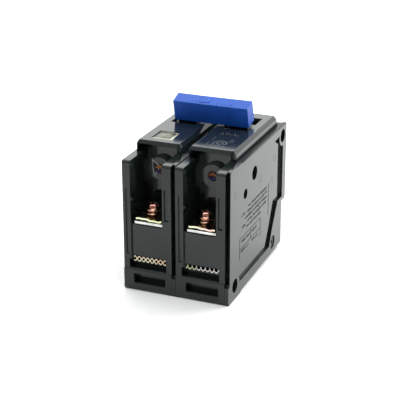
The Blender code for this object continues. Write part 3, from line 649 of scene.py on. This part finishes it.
# Thin lines of the hatch's frame, from one (from the front, height) corner to the other.
MARK_LINES = [
    ((13.7, 26.6), (41.0, 26.85)), ((13.7, 21.6), (41.0, 21.85)), ((13.7, 16.6), (13.95, 26.6)),
    ((41.0, 17.5), (41.25, 26.85)), ((27.9, 21.6), (28.15, 26.6)), ((52.0, 23.8), (52.3, 40.2)),
]
TALLEST_STROKE = 1.35
HATCH_SEED = {"right": 7, "left": 11}

# Ejector rings on a flank, as (from the front, height).
SHARED_EJECTORS = ((40.0, 46.5), (57.0, 40.0), (8.0, 50.0))
LAST_EJECTOR = {"right": (60.0, 50.0), "left": (14.0, 14.0)}
EJECTOR_RADIUS, EJECTOR_TUBE, EJECTOR_RISE = 1.7, 0.09, 0.05

# The printed rosette on the right pole's top, and the lines and dashes round it.
ROSETTE_AT, PRINT_SEED = (11.4, 24.5), 3
OUTER_RAYS, INNER_RAYS, OPEN_BELOW = 22, 14, -0.75
LOW_DASHES, LOW_DASH_Y = (7.9, 9.1, 10.3, 11.7, 12.9, 14.1), 20.9
DASH_ROWS = ((36.6, (6.9, 8.0, 9.6, 11.2, 12.2, 13.6, 14.8)), (38.6, (7.2, 9.0, 10.1, 13.0)))
THIN_LINES = ((6.5, 27.3, 32.3), (6.1, 21.0, 26.0), (14.9, 27.0, 31.4), (16.0, 26.8, 30.2), (1.6, 22.0, 33.0))
THIN_LINE_WIDTH = 0.13

# The wedge on the left boss: its corners as (x in the pole, height), and the boss's front.
WEDGE = [(9.1, 60.0), (13.6, 57.0), (10.2, 51.4)]
BOSS_FRONT, WEDGE_RISE, WEDGE_SINK, POCKET_RISE = 12.5, 0.3, 0.1, 0.03

# Nibs inside the wells: their (height, radius), and place in the pole.
NIBS, NIB_X, NIB_Y = ((43.8, 0.75), (60.0, 0.45)), 3.8, 1.4


def flank_x(side):
    return CAD_BOX[1].x if side == "right" else CAD_BOX[0].x


def foil_label():
    low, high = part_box("rating_plate")
    bm = bmesh.new()
    add_box(bm, low, high, 0.08)
    piece("foil_plate", bm, "case", "foil", 30.0, ["rating_plate"])
    bm = bmesh.new()
    width = RIM_WIDTH * MM
    z0, z1 = high.z, high.z + RIM_HEIGHT * MM
    add_box(bm, (low.x, low.y, z0), (high.x, low.y + width, z1), 0.05)
    add_box(bm, (low.x, high.y - width * 0.4, z0), (high.x - width, high.y, z1), 0.05)
    add_box(bm, (high.x - width, low.y + width, z0), (high.x, high.y, z1), 0.05)
    piece("foil_rim", bm, "case", "foil_rim", 30.0)


def side_marks(side):
    """Raised hatch in rows on an outer flank, in place of a rating panel. It spells nothing. Its darker colour is
    painted shade.
    """
    rng = random.Random(HATCH_SEED[side])
    outward = MM if side == "right" else -MM
    inner, outer = sorted((flank_x(side) - 0.02 * outward, flank_x(side) + 0.08 * outward))
    bm = bmesh.new()

    def stroke(y0, z0, y1, z1):
        add_box(bm, (inner, (FRONT + y0) * MM, z0 * MM), (outer, (FRONT + y1) * MM, z1 * MM))

    for z, start, end in MARK_ROWS:
        y = start
        while y < end:
            width = rng.uniform(0.35, 0.75)
            height = rng.uniform(0.7, TALLEST_STROKE)
            base = z + rng.uniform(0.0, TALLEST_STROKE - height)
            stroke(y, base, y + width, base + height)
            y += width + (rng.uniform(0.3, 0.55) if rng.random() < 0.8 else 1.1)
    for (y0, z0), (y1, z1) in MARK_LINES:
        stroke(y0, z0, y1, z1)
    piece(f"flank_marks_{side}", bm, "case", "case_marks", 30.0)


def ejector_rings(side):
    """Shallow witness rings where the mould's ejector pins met the flank."""
    face = flank_x(side)
    bm = bmesh.new()
    for y, z in (*SHARED_EJECTORS, LAST_EJECTOR[side]):
        def point(t, a, y=y, z=z):
            r = EJECTOR_RADIUS + EJECTOR_TUBE * math.cos(a)
            return Vector((face + EJECTOR_RISE * MM * math.sin(a),
                           (FRONT + y + r * math.cos(t)) * MM, (z + r * math.sin(t)) * MM))

        add_tube_ring(bm, 28, 5, point)
    merge_seams(bm)
    piece(f"ejector_rings_{side}", bm, "case", "case_plastic", 60.0)


def printed_marks():
    """Pale printed ticks, dashes and thin lines on the right pole's top: plain shapes, no lettering."""
    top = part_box("case_base_right")[1].z
    z0, z1 = top - 0.01 * MM, top + 0.03 * MM
    rng = random.Random(PRINT_SEED)
    bm = bmesh.new()

    def patch(corners):
        rings = [[at("right", x, y, 0) + Vector((0, 0, z)) for x, y in corners] for z in (z0, z1)]
        add_ring_mesh(bm, rings)

    def dash(x, y, long, wide):
        patch([(x, y), (x + long, y), (x + long, y + wide), (x, y + wide)])

    def ray(angle, near, far, wide):
        c, k = math.cos(angle), math.sin(angle)
        patch([(ROSETTE_AT[0] + r * c - w * k, ROSETTE_AT[1] + r * k + w * c)
               for r, w in ((near, -wide), (far, -wide), (far, wide), (near, wide))])

    for turn in range(OUTER_RAYS):
        angle = FULL_TURN * turn / OUTER_RAYS
        if math.sin(angle) > OPEN_BELOW:
            ray(angle, 2.5, 3.5 + 0.25 * (turn % 2), 0.13)
    for turn in range(INNER_RAYS):
        ray(FULL_TURN * turn / INNER_RAYS + 0.1, 1.1, 1.8, 0.14)
    for x in LOW_DASHES:
        dash(x, LOW_DASH_Y + rng.uniform(-0.1, 0.1), 0.8, 0.4)
    for y, starts in DASH_ROWS:
        for x in starts:
            dash(x, y + rng.uniform(-0.15, 0.15), rng.uniform(0.5, 0.9), 0.45)
    for x, y_start, y_end in THIN_LINES:
        patch([(x, y_start), (x + THIN_LINE_WIDTH, y_start), (x + THIN_LINE_WIDTH, y_end), (x, y_end)])
    piece("printed_marks", bm, "case", "print", 30.0)


def boss_window():
    """The raised wedge-shaped rim on the left pole's boss, around a dark pocket. The rim's pale grey is a painted
    highlight, the pocket's darker colour painted shade.
    """
    front = (FRONT + BOSS_FRONT) * MM
    sunk = front + WEDGE_SINK * MM
    raised = front - WEDGE_RISE * MM
    mid_x, mid_z = (sum(corner[i] for corner in WEDGE) / 3 for i in (0, 1))

    def outline(scale, y):
        return [
            Vector((at("left", mid_x + (x - mid_x) * scale, 0, 0).x, y, (mid_z + (z - mid_z) * scale) * MM))
            for x, z in WEDGE
        ]

    bm = bmesh.new()
    rings = [outline(1.0, sunk), outline(0.97, raised), outline(0.72, raised), outline(0.66, sunk)]
    add_ring_mesh(bm, rings + rings[:1], close_ends=False)
    merge_seams(bm)
    # The rim's pale grey is a painted highlight.
    piece("boss_window_rim", bm, "case", "worn_plastic", 30.0)
    bm = bmesh.new()
    add_ring_mesh(bm, [outline(0.68, front - POCKET_RISE * MM), outline(0.68, sunk)])
    # The pocket's darker colour is painted shade.
    piece("boss_window_pocket", bm, "case", "case_marks", 30.0)


def well_nibs():
    bm = bmesh.new()
    for side in SIDES:
        for z, size in NIBS:
            made = bmesh.ops.create_icosphere(bm, subdivisions=2, radius=size * MM)["verts"]
            for vert in made:
                vert.co += at(side, NIB_X, NIB_Y, z)
    piece("well_nibs", bm, "case", "case_plastic", 60.0)


for pole in SIDES:
    terminal(pole)
    vent_grid(pole)
handle_bar()
foil_label()
for flank in ("right", "left"):
    side_marks(flank)
    ejector_rings(flank)
printed_marks()
boss_window()
well_nibs()


# --- Camera, floor and light ----------------------------------------------------------------
# The camera's focal length and place from the left, front and bottom, in mm, and its two axes.
SENSOR_WIDTH, LENS = 36.0, 103.96
CAMERA_AT = (211.44, -426.89, 234.07)
CAMERA_RIGHT = Vector((0.92619, 0.37704, -0.00191))
CAMERA_DOWN = Vector((0.13887, -0.34582, -0.92797))
FLOOR_HALF = 4.0
SKY_COLOUR, SKY_BASE = (0.97, 1.0, 0.99, 1.0), 0.12


def camera():
    data = bpy.data.cameras.new("camera")
    data.sensor_width = SENSOR_WIDTH
    data.lens = LENS
    data.clip_start, data.clip_end = 0.01, 50.0
    cam = bpy.data.objects.new("camera", data)
    bpy.context.scene.collection.objects.link(cam)
    axes = Matrix((CAMERA_RIGHT, -CAMERA_DOWN, CAMERA_RIGHT.cross(-CAMERA_DOWN))).transposed()
    place = Vector((CAMERA_AT[0] + LEFT, CAMERA_AT[1] + FRONT, CAMERA_AT[2])) * MM
    cam.matrix_world = Matrix.Translation(place) @ axes.to_4x4()
    bpy.context.scene.camera = cam


def area_light(name, place, target, size, power):
    data = bpy.data.lights.new(name, "AREA")
    data.shape = "RECTANGLE"
    data.size, data.size_y = size
    data.energy = power
    lamp = bpy.data.objects.new(name, data)
    bpy.context.scene.collection.objects.link(lamp)
    lamp.location = place
    lamp.rotation_mode = "QUATERNION"
    lamp.rotation_quaternion = (Vector(target) - Vector(place)).to_track_quat("-Z", "Y")


def floor():
    mesh = bpy.data.meshes.new("floor")
    corners = [(x * FLOOR_HALF, y * FLOOR_HALF, 0) for x, y in ((-1, -1), (1, -1), (1, 1), (-1, 1))]
    mesh.from_pydata(corners, [], [(0, 1, 2, 3)])
    plane = bpy.data.objects.new("floor", mesh)
    bpy.context.scene.collection.objects.link(plane)
    n = Nodes("floor_paper")
    tone = n.remap(n.noise(6.0, 2.0), 0.3, 0.7)
    n.put(n.shader.inputs["Base Color"], n.mix(tone, rgb(0.93, 0.93, 0.93), rgb(0.95, 0.95, 0.95)))
    n.shader.inputs["Roughness"].default_value = 0.75
    n.put(n.shader.inputs["Normal"], n.bump(n.noise(900.0, 2.0), 0.00002))
    mesh.materials.append(n.material)


def studio():
    scene = bpy.context.scene
    scene.view_settings.view_transform = "Standard"
    world = bpy.data.worlds.new("studio")
    world.use_nodes = True
    tree = world.node_tree
    background = tree.nodes["Background"]
    coords = tree.nodes.new("ShaderNodeTexCoord")
    parts = tree.nodes.new("ShaderNodeSeparateXYZ")
    tree.links.new(coords.outputs["Generated"], parts.inputs[0])

    def glow(axis, low, high, amount):
        """Light that rises from 0 to amount as the sky's direction on an axis goes from low to high."""
        node = tree.nodes.new("ShaderNodeMapRange")
        node.interpolation_type = "SMOOTHSTEP"
        tree.links.new(parts.outputs[axis], node.inputs["Value"])
        node.inputs["From Min"].default_value = low
        node.inputs["From Max"].default_value = high
        node.inputs["To Max"].default_value = amount
        return node.outputs["Result"]

    def add(a, b):
        node = tree.nodes.new("ShaderNodeMath")
        node.operation = "ADD"
        for socket, value in zip(node.inputs, (a, b)):
            if isinstance(value, float):
                socket.default_value = value
            else:
                tree.links.new(value, socket)
        return node.outputs[0]

    backdrop = add(glow("Y", -0.05, 0.5, 1.45), glow("X", 0.15, -0.45, 0.5))
    strength = add(add(backdrop, glow("Z", 0.45, 0.9, 0.35)), SKY_BASE)
    background.inputs["Color"].default_value = SKY_COLOUR
    tree.links.new(strength, background.inputs["Strength"])
    scene.world = world
    area_light("top_softbox", (0.06, -0.2, 0.75), (0, 0, 0), (0.5, 0.5), 2.9)
    area_light("rear_softbox", (0.3, 0.42, 0.42), (0.14, 0.22, 0), (0.4, 0.3), 2.8)


camera()
floor()
studio()
